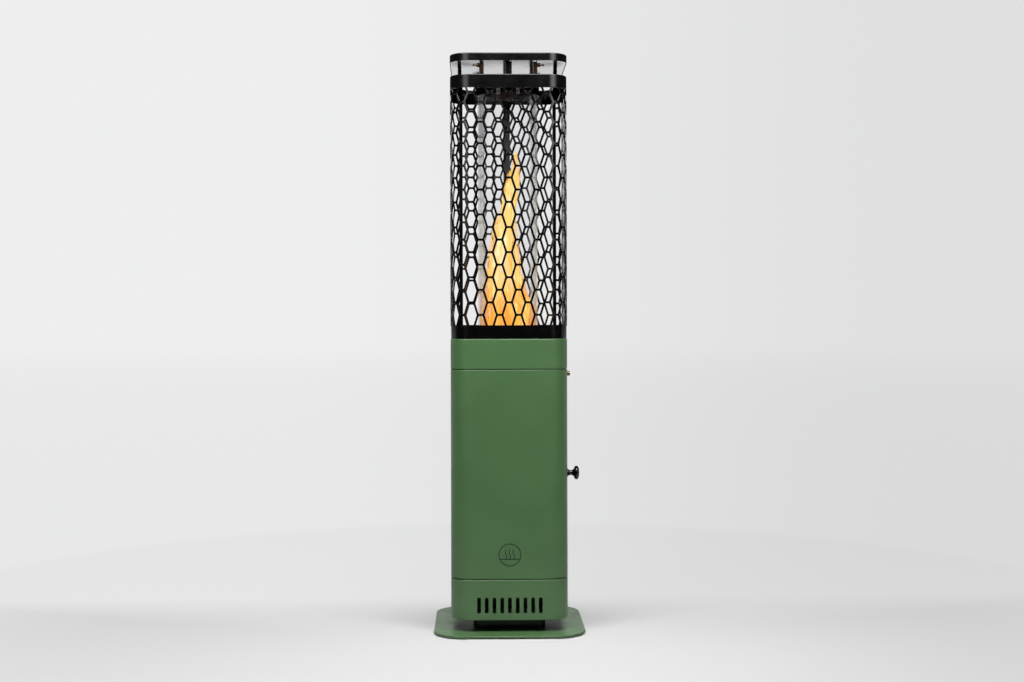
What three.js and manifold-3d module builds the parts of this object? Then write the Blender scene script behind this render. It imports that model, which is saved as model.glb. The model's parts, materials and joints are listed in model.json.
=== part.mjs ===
// A free-standing wood-pellet patio heater: a square steel column with round corners on a base plate,
// holding a burn canister behind a side door, and on top of it a glass flame tube inside a guard, under
// a lift-off cap. Millimetres, +Z up. The front faces -Y and the door faces +X. The origin is on the
// ground, below the middle of the column.
import * as THREE from 'three';
import { mergeVertices } from 'three/addons/utils/BufferGeometryUtils.js';
import Module from 'manifold-3d';

const wasm = await Module();
wasm.setup();

// ---------------------------------------------------------------- driving dimensions

const BODY = 271; // outside width and depth of the column
const HALF = BODY / 2;
const CORNER = 46; // outside corner radius of the column
const SHEET = 1.5; // folded steel sheet
const GAP = 0.3; // clearance between separate pieces

const LEVEL = {
  plateBottom: 2.5,
  plateTop: 7.5,
  plinthTop: 35,
  lowerTop: 127.5,
  floorTop: 129.5,
  middleTop: 609.5,
  deckTop: 611.5,
  collarTop: 680.5,
  ringTop: 710,
  guardTop: 1260,
  bandTop: 1289,
  capBottom: 1320,
  capTop: 1339,
};

const PLATE = { side: 350, corner: 70 };
const PAD = { radius: 18, offset: 125 };
const PLINTH = { side: 168, corner: 6, flange: 20 };
const DECK = { side: BODY - 4, corner: CORNER - 2 }; // set back from the shells, which leaves a dark seam
const SLOT = { count: 9, pitch: 17.75, width: 8.5, height: 36, middle: 69 };
const BADGE = { radius: 26, line: 2.4, depth: 0.8, height: 185, wave: 9 };

const DOOR = { front: -82, back: 66, bottom: 133, top: 606, reveal: 1 };
const FRAME = { outer: HALF - SHEET - GAP, thickness: 2, front: -90, back: 80, land: 12 };
const HINGE = { x: HALF + 3.4, y: 70, knuckle: 3, bore: 1.75, pin: 1.6, leaf: 17, length: 60 };
const HINGE_HEIGHTS = { lower: 220, upper: 520 };
const LOCK = { y: -70, z: 599, radius: 5.5, core: 3.3, cam: 18 };
const KNOB = { y: -70, z: 366.5, radius: 16, bore: 2.3, screw: 2 };

const DRAWER = { half: 69.7, front: -85, bottom: 52.3, top: 98, wall: 1.2 };
const DRAWER_FACE = { half: 74, bottom: 51, top: 114 };
const PULL = { halfWidth: 36, reach: 156, bar: 5, low: 78, high: 88 };
const CANISTER = { radius: 66, inner: 58, wall: 1.2, bottom: 165, top: 585, ashHole: 30 };
const CONE = { radius: 60.5, wall: 1.2, top: 676 };

const GLASS = { radius: 71, wall: 3.5, bottom: 690.3, top: 1268 };
const RING = { side: BODY - 2, corner: CORNER - 1, flange: 30 };
const GUARD_SHEET = 0.5; // plain sheet with the mass of the 2 mm perforated guard
const BAND_FLANGE = 28;
const UPRIGHT = { near: 107.3, far: 115.3, half: 8, top: 1285.7 };
const POST = { near: 109.5, far: 118.5, half: 8 };
const CAP = { side: BODY + 1, corner: CORNER + 0.5 };
const SHIELD = { bottom: 1321, wall: 1.2, top: 1337.2 };
const TAB = { bandSide: 57, capSide: 64, near: 108, far: 125, lip: 9.5 };
const WING = { z: 1312, y: 118, shank: 2.5, hub: 4.5, reach: 83, half: 8.5, thickness: 2.6 };

const FINE = 24; // sides of the large round pieces
const SMALL = 20; // sides of the small round pieces

// ---------------------------------------------------------------- shapes and solids

/** An outline with straight sides through the given points. */
function outline(points) {
  return new THREE.Shape(points.map(([x, y]) => new THREE.Vector2(x, y)));
}

/** A square with round corners, about the origin. */
function roundedSquare(side, radius) {
  const centre = side / 2 - radius;
  const shape = new THREE.Shape();
  shape.absarc(centre, centre, radius, 0, Math.PI / 2);
  shape.absarc(-centre, centre, radius, Math.PI / 2, Math.PI);
  shape.absarc(-centre, -centre, radius, Math.PI, 1.5 * Math.PI);
  shape.absarc(centre, -centre, radius, 1.5 * Math.PI, 2 * Math.PI);
  return shape;
}

/** A shape drawn in XY and raised from one level to another. */
function raise(shape, bottom, top) {
  const options = { depth: top - bottom, bevelEnabled: false, curveSegments: 4 };
  return new THREE.ExtrudeGeometry(shape, options).translate(0, 0, bottom);
}

/** A shape drawn in XZ and given its thickness along Y. */
function standAcross(shape, nearY, farY) {
  return raise(shape, 0, farY - nearY).rotateX(Math.PI / 2).translate(0, farY, 0);
}

/** A shape drawn in YZ and given its thickness along X. */
function standAlong(shape, lowX, highX) {
  return raise(shape, 0, highX - lowX).rotateX(Math.PI / 2).rotateZ(Math.PI / 2).translate(lowX, 0, 0);
}

function box(low, high) {
  const size = high.map((value, i) => value - low[i]);
  const middle = high.map((value, i) => (value + low[i]) / 2);
  return new THREE.BoxGeometry(...size).translate(...middle);
}

/** A profile of [radius, height] points turned about Z. */
function turned(profile, sides = FINE) {
  const points = profile.map(([radius, height]) => new THREE.Vector2(radius, height));
  return new THREE.LatheGeometry(points, sides).rotateX(Math.PI / 2);
}

/** The same profile turned about an axis along X through (y, z). */
function turnedAlongX(profile, y, z, sides = SMALL) {
  return turned(profile, sides).rotateY(Math.PI / 2).translate(0, y, z);
}

/** A solid disc or drum as a profile. */
function drum(radius, bottom, top) {
  return [[0, bottom], [radius, bottom], [radius, top], [0, top]];
}

/** A ring or pipe as a profile that closes on itself. */
function pipe(inner, outer, bottom, top) {
  return [[inner, bottom], [outer, bottom], [outer, top], [inner, top], [inner, bottom]];
}

/** The solid inside a closed surface, with its faces turned outwards. */
function solid(geometry) {
  const bare = geometry.clone();
  bare.deleteAttribute('normal');
  bare.deleteAttribute('uv');
  const merged = mergeVertices(bare, 1e-4);
  const points = merged.attributes.position.array;
  const corners = merged.index.array;
  const triangles = [];
  let volume = 0;
  for (let i = 0; i < corners.length; i += 3) {
    const [a, b, c] = corners.subarray(i, i + 3);
    if (a === b || b === c || c === a) continue;
    triangles.push([a, b, c]);
    const [p, q, r] = [a, b, c].map((index) => new THREE.Vector3().fromArray(points, 3 * index));
    volume += p.dot(q.cross(r));
  }
  const facing = volume < 0 ? triangles.map(([a, b, c]) => [a, c, b]) : triangles;
  return new wasm.Manifold(new wasm.Mesh({
    numProp: 3,
    vertProperties: new Float32Array(points),
    triVerts: new Uint32Array(facing.flat()),
  }));
}

function cut(body, ...geometries) {
  return geometries.reduce((rest, geometry) => rest.subtract(solid(geometry)), body);
}

function join(...geometries) {
  return geometries.map(solid).reduce((whole, part) => whole.add(part));
}

/**
 * A square tube with round corners. Each end is open, has a flange of the given width turned inwards,
 * or is closed.
 */
function casing(side, corner, bottom, top, { wall = SHEET, low = wall, high = wall } = {}) {
  const inset = (width) => roundedSquare(side - 2 * width, Math.max(corner - width, 1));
  const hollow = raise(inset(wall), bottom + wall, top - wall);
  let shell = cut(solid(raise(inset(0), bottom, top)), hollow);
  if (low !== 'closed') shell = cut(shell, raise(inset(low), bottom - 1, bottom + wall));
  if (high !== 'closed') shell = cut(shell, raise(inset(high), top - wall, top + 1));
  return shell;
}

// ---------------------------------------------------------------- finishes and meshes

const FINISH = {
  greenCoat: { color: 0x5f8159, roughness: 0.42, metalness: 0.1 },
  blackCoat: { color: 0x17181a, roughness: 0.45, metalness: 0.2 },
  rubber: { color: 0x121212, roughness: 0.85, metalness: 0 },
  darkSteel: { color: 0x3a3836, roughness: 0.6, metalness: 0.8 },
  stainless: { color: 0xb9babb, roughness: 0.28, metalness: 1 },
  heatTinted: { color: 0x8a6a4c, roughness: 0.35, metalness: 1 },
  glass: { color: 0xf2f6f4, roughness: 0.03, metalness: 0, transparent: true, opacity: 0.3 },
  gasket: { color: 0x8c8a84, roughness: 0.95, metalness: 0 },
  knobBlack: { color: 0x0b0b0c, roughness: 0.15, metalness: 0 },
  brass: { color: 0x8a6238, roughness: 0.35, metalness: 1 },
};

const heater = new THREE.Group();

/** The surface of a joined or cut solid. */
function surface(body) {
  const { vertProperties, triVerts } = body.getMesh();
  const geometry = new THREE.BufferGeometry();
  geometry.setAttribute('position', new THREE.BufferAttribute(new Float32Array(vertProperties), 3));
  geometry.setIndex([...triVerts]);
  return geometry;
}

/** Adds one named piece, which is a geometry or a joined or cut solid. */
function piece(name, finish, shape) {
  const geometry = surface(shape.isBufferGeometry ? solid(shape) : shape);
  geometry.computeVertexNormals();
  const mesh = new THREE.Mesh(geometry, new THREE.MeshStandardMaterial(finish));
  mesh.name = name;
  heater.add(mesh);
}

// ---------------------------------------------------------------- base

function addBase() {
  for (const [side, signX] of [['left', -1], ['right', 1]]) {
    for (const [end, signY] of [['front', -1], ['rear', 1]]) {
      const pad = turned(drum(PAD.radius, 0, LEVEL.plateBottom), SMALL);
      pad.translate(signX * PAD.offset, signY * PAD.offset, 0);
      piece(`foot_pad_${end}_${side}`, FINISH.rubber, pad);
    }
  }
  const plate = raise(roundedSquare(PLATE.side, PLATE.corner), LEVEL.plateBottom, LEVEL.plateTop);
  piece('base_plate', FINISH.greenCoat, plate);
  const { side, corner, flange } = PLINTH;
  const plinth = casing(side, corner, LEVEL.plateTop, LEVEL.plinthTop, { low: flange, high: flange });
  piece('plinth', FINISH.blackCoat, plinth);
}

// ---------------------------------------------------------------- lower shell and ash drawer

/** One upright air slot with round ends, centred on the given x. */
function airSlot(x) {
  const radius = SLOT.width / 2;
  const reach = SLOT.height / 2 - radius;
  const shape = new THREE.Shape();
  shape.absarc(x, SLOT.middle + reach, radius, 0, Math.PI);
  shape.absarc(x, SLOT.middle - reach, radius, Math.PI, 2 * Math.PI);
  return standAcross(shape, -HALF - 1, -HALF + SHEET + 1);
}

function addLowerShell() {
  const { plinthTop, lowerTop } = LEVEL;
  let shell = casing(BODY, CORNER, plinthTop, lowerTop, { low: 'closed', high: 14 });
  const first = -SLOT.pitch * (SLOT.count - 1) / 2;
  for (let i = 0; i < SLOT.count; i += 1) shell = cut(shell, airSlot(first + i * SLOT.pitch));
  const { half, bottom, top } = DRAWER_FACE;
  const mouthLow = [-half - DOOR.reveal, HALF - SHEET - 1, bottom - DOOR.reveal];
  const mouthHigh = [half + DOOR.reveal, HALF + 1, top + DOOR.reveal];
  piece('lower_shell', FINISH.greenCoat, cut(shell, box(mouthLow, mouthHigh)));
}

function addDrawer() {
  const inside = HALF - SHEET;
  const { half, front, bottom, top, wall } = DRAWER;
  const floor = LEVEL.plinthTop + SHEET;
  const ledge = bottom - GAP;
  for (const [side, sign] of [['left', -1], ['right', 1]]) {
    const near = half + GAP;
    const profile = [
      [near + 14, floor], [near + 14, floor + 2], [near + 2, floor + 2], [near + 2, 74], [near, 74],
      [near, ledge], [near - 10, ledge], [near - 10, ledge - 2], [near, ledge - 2], [near, floor],
    ].map(([x, z]) => [sign * x, z]);
    piece(`drawer_rail_${side}`, FINISH.darkSteel, standAcross(outline(profile), -90, 125));
  }
  const tray = solid(box([-half, front, bottom], [half, inside, top]));
  const hollow = box([-half + wall, front + wall, bottom + wall], [half - wall, inside - wall, top + 1]);
  piece('ash_drawer_tray', FINISH.darkSteel, cut(tray, hollow));
  const face = DRAWER_FACE;
  const plate = box([-face.half, inside, face.bottom], [face.half, HALF, face.top]);
  piece('ash_drawer_front', FINISH.greenCoat, plate);
  const { halfWidth, reach, bar, low, high } = PULL;
  const pull = outline([
    [-halfWidth, HALF], [-halfWidth, reach], [halfWidth, reach], [halfWidth, HALF],
    [halfWidth - bar, HALF], [halfWidth - bar, reach - bar], [bar - halfWidth, reach - bar],
    [bar - halfWidth, HALF],
  ]);
  piece('ash_drawer_pull', FINISH.blackCoat, raise(pull, low, high));
}

// ---------------------------------------------------------------- middle shell and burner

function addMiddleShell() {
  const deck = raise(roundedSquare(DECK.side, DECK.corner), LEVEL.lowerTop, LEVEL.floorTop);
  piece('cabinet_floor', FINISH.darkSteel, cut(solid(deck), turned(drum(50, 120, 140))));
  const { front, back, bottom, top, reveal } = DOOR;
  const opening = box([120, front - reveal, bottom - reveal], [140, back + reveal, top + reveal]);
  const shell = casing(BODY, CORNER, LEVEL.floorTop, LEVEL.middleTop);
  piece('middle_shell', FINISH.greenCoat, cut(shell, opening));
}

/** The outline of one heat wave: an upright strip that swings to both sides. */
function heatWave(x, bottom, top) {
  const steps = 8;
  const swing = 1.8;
  const edge = (offset) => Array.from({ length: steps + 1 }, (_, i) => {
    const share = i / steps;
    return [x + offset + swing * Math.sin(2 * Math.PI * share), bottom + share * (top - bottom)];
  });
  return outline([...edge(BADGE.line / 2), ...edge(-BADGE.line / 2).reverse()]);
}

/** The badge: a ring round three heat waves, which stand on a bar across it. */
function addBadge() {
  const { radius, line, depth, height, wave } = BADGE;
  const back = -HALF - 0.2;
  const ring = turned(pipe(radius - line, radius, 0, depth)).rotateX(Math.PI / 2);
  const foot = height - wave - line;
  const end = radius - line;
  const bar = box([-end, back - depth, foot], [end, back, foot + line]);
  const waves = [-wave, 0, wave].map((x) => heatWave(x, foot + line / 2, height + 1.4 * wave));
  const flat = waves.map((shape) => standAcross(shape, back - depth, back));
  piece('badge', FINISH.blackCoat, join(ring.translate(0, back, height), bar, ...flat));
}

function addDoorFrame() {
  const { outer, thickness, front, back, land } = FRAME;
  const low = LEVEL.floorTop + 1.5;
  const high = LEVEL.middleTop - GAP;
  const frame = outline([[front, low], [back, low], [back, high], [front, high]]);
  const inner = { front: front + land, back: DOOR.back - 8, bottom: DOOR.bottom + 7, top: DOOR.top - 14 };
  frame.holes.push(outline([
    [inner.front, inner.bottom], [inner.back, inner.bottom], [inner.back, inner.top],
    [LOCK.y + 10, inner.top], [LOCK.y + 10, DOOR.top + 0.5], [inner.front, DOOR.top + 0.5],
  ]));
  piece('door_frame', FINISH.darkSteel, standAlong(frame, outer - thickness, outer));
}

function addBurner() {
  const { radius, inner, wall, bottom, top, ashHole } = CANISTER;
  const floor = bottom + wall;
  let stand = solid(turned(pipe(60, 62, LEVEL.floorTop, bottom)));
  stand = cut(stand, box([-70, -14, 120], [70, 14, 150]), box([-14, -70, 120], [14, 70, 150]));
  piece('canister_stand', FINISH.darkSteel, stand);
  piece('canister_outer', FINISH.stainless, turned([
    [ashHole, bottom], [radius, bottom], [radius, top], [radius - wall, top], [radius - wall, floor],
    [ashHole, floor], [ashHole, bottom],
  ]));
  let liner = solid(turned([
    [inner - wall, floor], [inner, floor], [inner, top - 5], [radius - wall - GAP, top - 5],
    [radius - wall - GAP, top - 5 + wall], [inner - wall, top - 5 + wall], [inner - wall, floor],
  ]));
  for (let i = 0; i < 12; i += 1) {
    const hole = turned(drum(4, 40, 70), 6).rotateY(Math.PI / 2).rotateZ(i * Math.PI / 6);
    liner = cut(liner, hole.translate(0, 0, top - 25));
  }
  piece('canister_inner', FINISH.stainless, liner);
  let grate = solid(turned([
    [0, 190], [54, 190], [54, floor], [55.2, floor], [55.2, 190], [56.5, 190], [56.5, 192], [0, 192],
  ]));
  for (let i = 0; i < 8; i += 1) {
    const slot = box([14, -3, 185], [46, 3, 195]).rotateZ(i * Math.PI / 4);
    grate = cut(grate, slot);
  }
  piece('fuel_grate', FINISH.darkSteel, grate);
  const deck = raise(roundedSquare(DECK.side, DECK.corner), LEVEL.middleTop, LEVEL.deckTop);
  piece('burner_deck', FINISH.darkSteel, cut(solid(deck), turned(drum(CONE.radius + 0.8, 600, 620))));
  const { deckTop } = LEVEL;
  const throat = CONE.radius - CONE.wall;
  piece('flame_cone', FINISH.stainless, turned([
    [65, top + 3], [CONE.radius, 606], [CONE.radius, deckTop], [76, deckTop], [76, deckTop + CONE.wall],
    [CONE.radius, deckTop + CONE.wall], [CONE.radius, CONE.top], [throat, CONE.top], [throat, 606],
    [65 - CONE.wall, top + 3], [65, top + 3],
  ]));
}

// ---------------------------------------------------------------- door, hinges, knob and lock

function addDoor() {
  const { front, back, bottom, top } = DOOR;
  const panel = solid(box([HALF - SHEET, front, bottom], [HALF, back, top]));
  const lockHole = turnedAlongX(drum(LOCK.radius + GAP, 125, 140), LOCK.y, LOCK.z);
  const screwHole = turnedAlongX(drum(KNOB.bore, 125, 140), KNOB.y, KNOB.z);
  piece('door_panel', FINISH.greenCoat, cut(panel, lockHole, screwHole));
  const [face, web] = [FRAME.outer, 120];
  const hat = outline([
    [face, -45], [face, -28.8], [web + 1.2, -28.8], [web + 1.2, 8.8], [face, 8.8], [face, 25],
    [face - 1.2, 25], [face - 1.2, 10], [web, 10], [web, -30], [face - 1.2, -30], [face - 1.2, -45],
  ]);
  piece('door_stiffener', FINISH.darkSteel, raise(hat, 160, 570));
}

/** One butt hinge: a leaf on the shell, a leaf on the door and the pin through both. */
function addHinge(label, middle) {
  const { x, y, knuckle, bore, pin, leaf, length } = HINGE;
  const [plateLow, plateHigh] = [HALF + 0.2, HALF + 1.6];
  const ends = [middle - length / 2, middle + length / 2];
  const tip = 10;
  const knuckles = {
    body: [[ends[0], middle - tip - 0.2], [middle + tip + 0.2, ends[1]]],
    door: [[middle - tip + 0.1, middle + tip - 0.1]],
  };
  for (const [owner, sign] of [['body', 1], ['door', -1]]) {
    const edges = (from, to) => [y + sign * from, y + sign * to].sort((a, b) => a - b);
    const [plateFrom, plateTo] = edges(knuckle + 0.6, leaf);
    const shapes = [box([plateLow, plateFrom, ends[0]], [plateHigh, plateTo, ends[1]])];
    for (const [from, to] of knuckles[owner]) {
      const [tongueFrom, tongueTo] = edges(0, knuckle + 1);
      shapes.push(box([plateLow, tongueFrom, from], [plateHigh, tongueTo, to]));
      shapes.push(turned(drum(knuckle, from, to), 16).translate(x, y, 0));
    }
    const hole = turned(drum(bore, ends[0] - 5, ends[1] + 5), 16).translate(x, y, 0);
    piece(`${label}_hinge_${owner}_leaf`, FINISH.blackCoat, cut(join(...shapes), hole));
  }
  const rod = [
    [0, ends[0] - 1], [pin, ends[0] - 1], [pin, ends[1] + GAP], [knuckle - 0.4, ends[1] + GAP],
    [knuckle - 0.4, ends[1] + 2.5], [0, ends[1] + 2.5],
  ];
  piece(`${label}_hinge_pin`, FINISH.darkSteel, turned(rod, 16).translate(x, y, 0));
}

function addKnob() {
  const { y, z, radius, bore, screw } = KNOB;
  const seat = HALF + 0.2;
  const turnedForm = [
    [9.25, 0.2], [9.25, 2.5], [6.5, 5], [5.6, 9], [6, 13], [9, 16], [14, 18], [radius, 21], [radius, 23.5],
    [14, 26.5], [9, 28.4], [0, 29.2],
  ].map(([size, reach]) => [size, HALF + reach]);
  const hole = [[0, HALF + 12], [bore, HALF + 12], [bore, seat]];
  piece('door_knob', FINISH.knobBlack, turnedAlongX([...hole, ...turnedForm], y, z));
  const head = HALF - SHEET - GAP;
  piece('knob_screw', FINISH.darkSteel, turnedAlongX([
    [0, head - 2.6], [4.2, head - 2.6], [4.2, head], [screw, head], [screw, HALF + 11], [0, HALF + 11],
  ], y, z));
}

function addLock() {
  const { y, z, radius, core, cam } = LOCK;
  const bore = core + GAP;
  const back = HALF - SHEET - 3;
  const seat = HALF + 0.2;
  const mouth = HALF + 7.8;
  piece('lock_barrel', FINISH.brass, turnedAlongX([
    [bore, back], [radius, back], [radius, seat], [7.2, seat], [7.2, seat + 1.2], [radius, seat + 1.2],
    [radius, mouth], [bore, mouth], [bore, back],
  ], y, z));
  const tail = HALF - 9.1;
  const plug = solid(turnedAlongX([
    [0, tail], [5, tail], [5, tail + 2], [core, tail + 2], [core, mouth - 0.2], [0, mouth - 0.2],
  ], y, z));
  const keyway = box([mouth - 2.2, y - 0.6, z - 2.2], [mouth + 1, y + 0.6, z + 2.2]);
  piece('lock_core', FINISH.brass, cut(plug, keyway));
  const arm = new THREE.Shape();
  arm.absarc(y, z, 6, 0, Math.PI);
  arm.lineTo(y - 6, z - cam);
  arm.lineTo(y + 6, z - cam);
  const hole = turnedAlongX(drum(bore, 120, 135), y, z);
  piece('lock_cam', FINISH.darkSteel, cut(solid(standAlong(arm, tail + 2.3, tail + 4.2)), hole));
}

// ---------------------------------------------------------------- collar, glass and guard

function addCollar() {
  const shell = casing(BODY, CORNER, LEVEL.deckTop, LEVEL.collarTop, { high: 16 });
  piece('collar_shell', FINISH.greenCoat, shell);
  const { side, corner, flange } = RING;
  const ring = casing(side, corner, LEVEL.collarTop, LEVEL.ringTop, { low: flange });
  piece('guard_base_ring', FINISH.blackCoat, ring);
  const seat = LEVEL.collarTop + SHEET;
  const base = raise(roundedSquare(214, 20), seat, seat + SHEET);
  const socket = join(base, turned(drum(GLASS.radius + 3.5, seat, seat + 20)));
  const well = turned(drum(GLASS.radius + 1.3, seat + SHEET, seat + 30));
  const throat = turned(drum(CONE.radius + GAP, seat - 5, seat + 10));
  piece('glass_socket', FINISH.blackCoat, cut(socket, well, throat));
}

function addGlass() {
  const { radius, wall, bottom, top } = GLASS;
  const seat = LEVEL.collarTop + 2 * SHEET;
  const cushion = pipe(radius - wall - GAP, radius + 0.9, seat + GAP, bottom - GAP);
  piece('gasket_lower', FINISH.gasket, turned(cushion));
  piece('glass_tube', FINISH.glass, turned(pipe(radius - wall, radius, bottom, top)));
  piece('gasket_upper', FINISH.gasket, turned(pipe(radius + GAP, radius + 2.9, top - 10, top - 2)));
  const hoop = radius + 3.2;
  const armTop = LEVEL.bandTop - SHEET;
  const armBottom = armTop - SHEET;
  let collar = join(
    turned(drum(hoop + 1.8, top - 12, armTop)),
    box([-125, -6, armBottom], [125, 6, armTop]),
    box([-6, -125, armBottom], [6, 125, armTop]),
  );
  collar = cut(collar, turned(drum(hoop, top - 20, armTop + 5)));
  piece('glass_top_collar', FINISH.heatTinted, collar);
}

function addGuard() {
  const guard = casing(BODY, CORNER, LEVEL.ringTop, LEVEL.guardTop, { wall: GUARD_SHEET });
  piece('flame_guard', FINISH.blackCoat, guard);
  const { near, far, half, top } = UPRIGHT;
  const foot = LEVEL.collarTop + SHEET;
  for (const [side, turns] of [['right', 0], ['rear', 1], ['left', 2]]) {
    const bar = box([near, -half, foot], [far, half, top]).rotateZ(turns * Math.PI / 2);
    piece(`upright_${side}`, FINISH.blackCoat, bar);
  }
  const band = casing(BODY, CORNER, LEVEL.guardTop, LEVEL.bandTop, { high: BAND_FLANGE });
  piece('top_band', FINISH.blackCoat, band);
}

/** A box between two corners in XY, in the quarter that the signs choose. */
function quarterBox([from, to], signX, signY, bottom, top) {
  const [lowX, highX] = [signX * from[0], signX * to[0]].sort((a, b) => a - b);
  const [lowY, highY] = [signY * from[1], signY * to[1]].sort((a, b) => a - b);
  return box([lowX, lowY, bottom], [highX, highY, top]);
}

/**
 * The two brackets on the band that the wing screws press against. Each has an upright angle at both
 * ends and a low strap between them, which runs inside the cap post.
 */
function addTabBrackets() {
  const { bandSide, near, far, lip } = TAB;
  const [foot, head] = [LEVEL.bandTop, WING.z + 6];
  const face = far + 2;
  const strapFace = POST.near - GAP;
  for (const [place, signY] of [['front', -1], ['rear', 1]]) {
    const [strapLow, strapHigh] = [signY * near, signY * strapFace].sort((a, b) => a - b);
    const shapes = [box([-bandSide, strapLow, foot], [bandSide, strapHigh, foot + 4])];
    for (const signX of [-1, 1]) {
      const web = [[bandSide - 0.5, near], [bandSide + SHEET, face]];
      const front = [[bandSide - 0.5, face - SHEET], [bandSide + lip, face]];
      for (const corners of [web, front]) shapes.push(quarterBox(corners, signX, signY, foot, head));
    }
    piece(`tab_bracket_${place}`, FINISH.heatTinted, join(...shapes));
  }
}

// ---------------------------------------------------------------- cap

/** Four channels that stand on the band, open towards the middle. */
function addCapPosts() {
  const { near, far, half } = POST;
  const channel = outline([
    [-half, near], [-half, far], [half, far], [half, near], [half - SHEET, near],
    [half - SHEET, far - SHEET], [SHEET - half, far - SHEET], [SHEET - half, near],
  ]);
  for (const [side, turns] of [['rear', 0], ['left', 1], ['front', 2], ['right', 3]]) {
    const post = raise(channel, LEVEL.bandTop, SHIELD.bottom - GAP).rotateZ(turns * Math.PI / 2);
    piece(`cap_post_${side}`, FINISH.blackCoat, post);
  }
}

function addCap() {
  const { side, corner } = CAP;
  piece('cap_shell', FINISH.blackCoat, cut(
    solid(raise(roundedSquare(side, corner), LEVEL.capBottom, LEVEL.capTop)),
    raise(roundedSquare(side - 2 * SHEET, corner - SHEET), LEVEL.capBottom - 1, LEVEL.capTop - SHEET),
  ));
  const inset = SHEET + GAP;
  const { bottom, wall, top } = SHIELD;
  let shield = casing(side - 2 * inset, corner - inset, bottom, top, { wall, low: 'closed' });
  for (const signX of [-1, 1]) {
    for (const signY of [-1, 1]) {
      const tab = [[TAB.capSide, TAB.near], [TAB.capSide + SHEET, TAB.far - 1]];
      shield = shield.add(solid(quarterBox(tab, signX, signY, WING.z - 11, bottom + wall)));
      const ends = [TAB.capSide - 5, TAB.capSide + 5].map((x) => signX * x).sort((a, b) => a - b);
      shield = cut(shield, turnedAlongX(drum(WING.shank + GAP, ...ends), signY * WING.y, WING.z));
    }
  }
  piece('cap_heat_shield', FINISH.stainless, shield);
}

function addWingScrews() {
  const tip = TAB.bandSide + SHEET + GAP;
  const root = TAB.capSide + SHEET + 0.5;
  const end = root + 8;
  const shank = [
    [0, tip], [WING.shank, tip], [WING.shank, root], [WING.hub, root], [WING.hub, end], [0, end],
  ];
  const { reach, half, thickness } = WING;
  const wings = outline([
    [root + 3, -4], [reach - 1, -half], [reach, -half + 4], [root + 9, 0],
    [reach, half - 4], [reach - 1, half], [root + 3, 4],
  ]);
  for (const [side, turns] of [['right', 0], ['left', 1]]) {
    for (const [place, sign] of [['front', -1], ['rear', 1]]) {
      const screw = join(turnedAlongX(shank, 0, 0, 16), raise(wings, -thickness / 2, thickness / 2));
      const placed = surface(screw).rotateZ(turns * Math.PI).translate(0, sign * WING.y, WING.z);
      piece(`wing_screw_${place}_${side}`, FINISH.brass, placed);
    }
  }
}

addBase();
addLowerShell();
addDrawer();
addMiddleShell();
addBadge();
addDoorFrame();
addBurner();
addDoor();
for (const [label, height] of Object.entries(HINGE_HEIGHTS)) addHinge(label, height);
addKnob();
addLock();
addCollar();
addGlass();
addGuard();
addTabBrackets();
addCapPosts();
addCap();
addWingScrews();

export default heater;
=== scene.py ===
import json
import math

import bmesh
import bpy
from mathutils import Matrix, Vector, noise


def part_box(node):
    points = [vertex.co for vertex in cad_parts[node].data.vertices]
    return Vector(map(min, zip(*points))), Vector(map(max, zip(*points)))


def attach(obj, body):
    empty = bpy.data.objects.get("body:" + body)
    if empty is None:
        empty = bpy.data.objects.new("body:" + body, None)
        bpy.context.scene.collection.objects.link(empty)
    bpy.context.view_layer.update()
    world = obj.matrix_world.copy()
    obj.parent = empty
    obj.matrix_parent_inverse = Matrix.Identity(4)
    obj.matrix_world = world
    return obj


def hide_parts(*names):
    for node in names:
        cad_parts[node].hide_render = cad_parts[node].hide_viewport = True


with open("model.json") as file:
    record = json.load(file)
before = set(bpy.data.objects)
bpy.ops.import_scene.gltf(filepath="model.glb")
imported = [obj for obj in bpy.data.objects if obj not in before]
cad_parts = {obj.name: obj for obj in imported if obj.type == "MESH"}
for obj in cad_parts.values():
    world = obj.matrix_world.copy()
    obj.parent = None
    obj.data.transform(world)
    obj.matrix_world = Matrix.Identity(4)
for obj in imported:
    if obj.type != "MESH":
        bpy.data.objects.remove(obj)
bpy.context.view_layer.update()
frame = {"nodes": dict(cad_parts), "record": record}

MM = 0.001
RECORD = frame["record"]
SLOT_OF = {part["node"]: part["material_slot"] for part in RECORD["subparts"]}
BODY_OF = {node: body for body, nodes in RECORD["behaviour"]["bodies"].items() for node in nodes}

BODY = 271  # outside width of the column
HALF = BODY / 2
CORNER = 46  # outside corner radius of the column
WALL = 1.5  # folded steel sheet
TUBE = 71  # outside radius of the glass tube


def mm_box(node):
    """The lowest and highest corners of a CAD node, in millimetres."""
    return [[c / MM for c in corner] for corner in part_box(node)]


# ---- materials


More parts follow.
